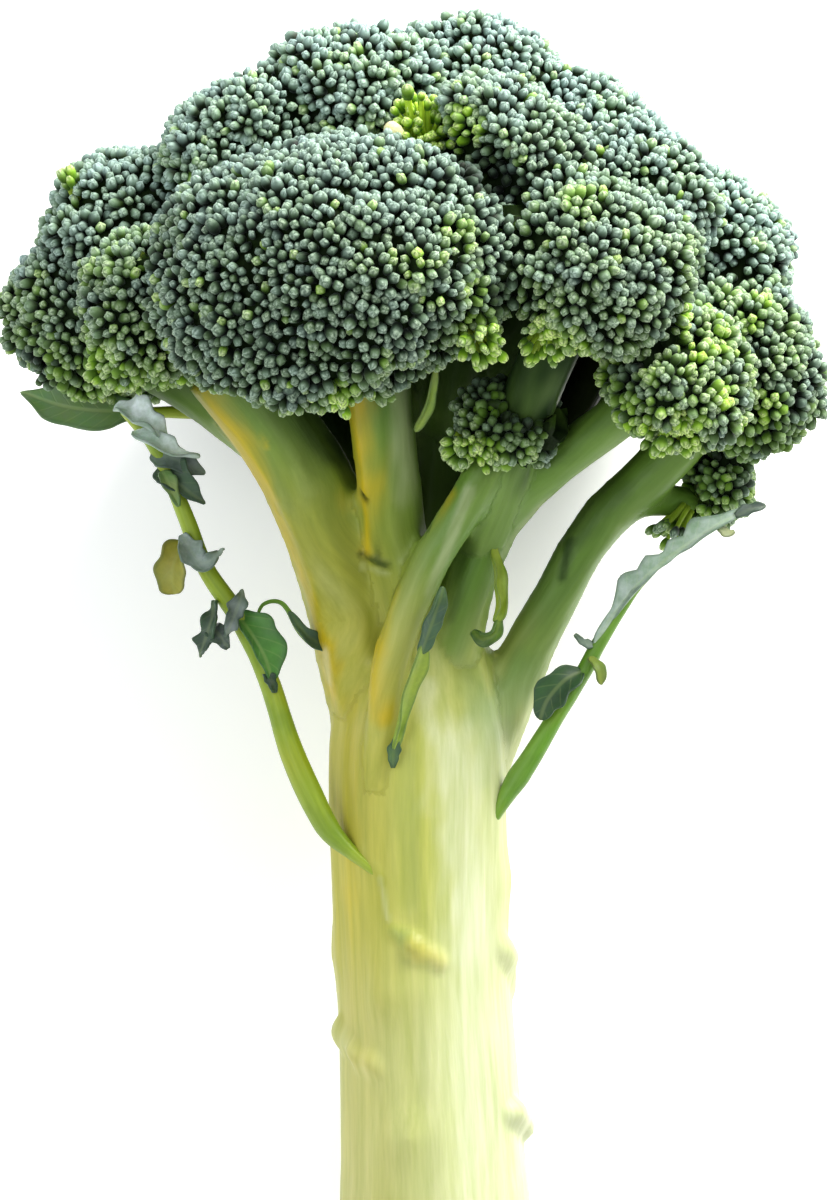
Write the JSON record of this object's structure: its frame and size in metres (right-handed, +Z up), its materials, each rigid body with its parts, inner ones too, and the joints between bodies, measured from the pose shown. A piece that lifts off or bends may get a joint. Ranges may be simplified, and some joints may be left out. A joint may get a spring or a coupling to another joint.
{
  "type": "broccoli head",
  "caption": "Broccoli head with a domed crown of green florets on branches parting from one thick pale stalk, with torn side leaves, lying on its back.",
  "frame": {"origin": "centre of the bounding box's base, on the surface that the head lies on", "axes": "+X across the crown, +Y from the cut end of the stalk towards the crown, +Z up from the surface; the best side faces up"},
  "size_m": [0.1464, 0.214, 0.1317],
  "materials": {
    "stalk_skin": "smooth waxy skin",
    "branch_skin": "smooth waxy skin",
    "flower_buds": "matte with a pale bloom",
    "leaf_blade": "waxy with a bluish bloom",
    "bract_blade": "waxy"
  },
  "bodies": {
    "root": {"stalk": "stalk_skin", "branch_left_front": "branch_skin", "branch_front_left": "branch_skin", "branch_right_lower": "branch_skin", "branch_right_outer": "branch_skin", "branch_back_left": "branch_skin", "branch_back_right": "branch_skin", "branch_top": "branch_skin", "branch_under_front": "branch_skin", "branch_left_lower": "branch_skin", "branch_left_upper": "branch_skin", "branch_left_back": "branch_skin", "branch_right_back": "branch_skin", "branch_front_right": "branch_skin", "branch_front_top": "branch_skin", "branch_upper_left": "branch_skin", "branch_top_left": "branch_skin", "branch_top_right": "branch_skin", "branch_upper_right": "branch_skin", "branch_right_upper": "branch_skin", "branch_low_right": "branch_skin", "branch_back_top": "branch_skin", "branch_upper_left_back": "branch_skin", "branch_upper_right_back": "branch_skin", "floret_front_left": "flower_buds", "floret_front_right": "flower_buds", "floret_front_top": "flower_buds", "floret_left_front": "flower_buds", "floret_left_upper": "flower_buds", "floret_left_lower": "flower_buds", "floret_upper_left": "flower_buds", "floret_top_left": "flower_buds", "floret_top": "flower_buds", "floret_top_right": "flower_buds", "floret_upper_right": "flower_buds", "floret_right_upper": "flower_buds", "floret_right_outer": "flower_buds", "floret_right_lower": "flower_buds", "floret_under_front": "flower_buds", "floret_low_right": "flower_buds", "floret_left_back": "flower_buds", "floret_right_back": "flower_buds", "floret_back_left": "flower_buds", "floret_back_right": "flower_buds", "floret_back_top": "flower_buds", "floret_upper_left_back": "flower_buds", "floret_upper_right_back": "flower_buds", "leaf_left": "leaf_blade", "leaf_right": "leaf_blade", "leaf_upper_left": "leaf_blade", "bract_left": "bract_blade", "bract_front": "bract_blade", "bract_centre": "bract_blade", "bract_right": "bract_blade"}
  },
  "joints": []
}
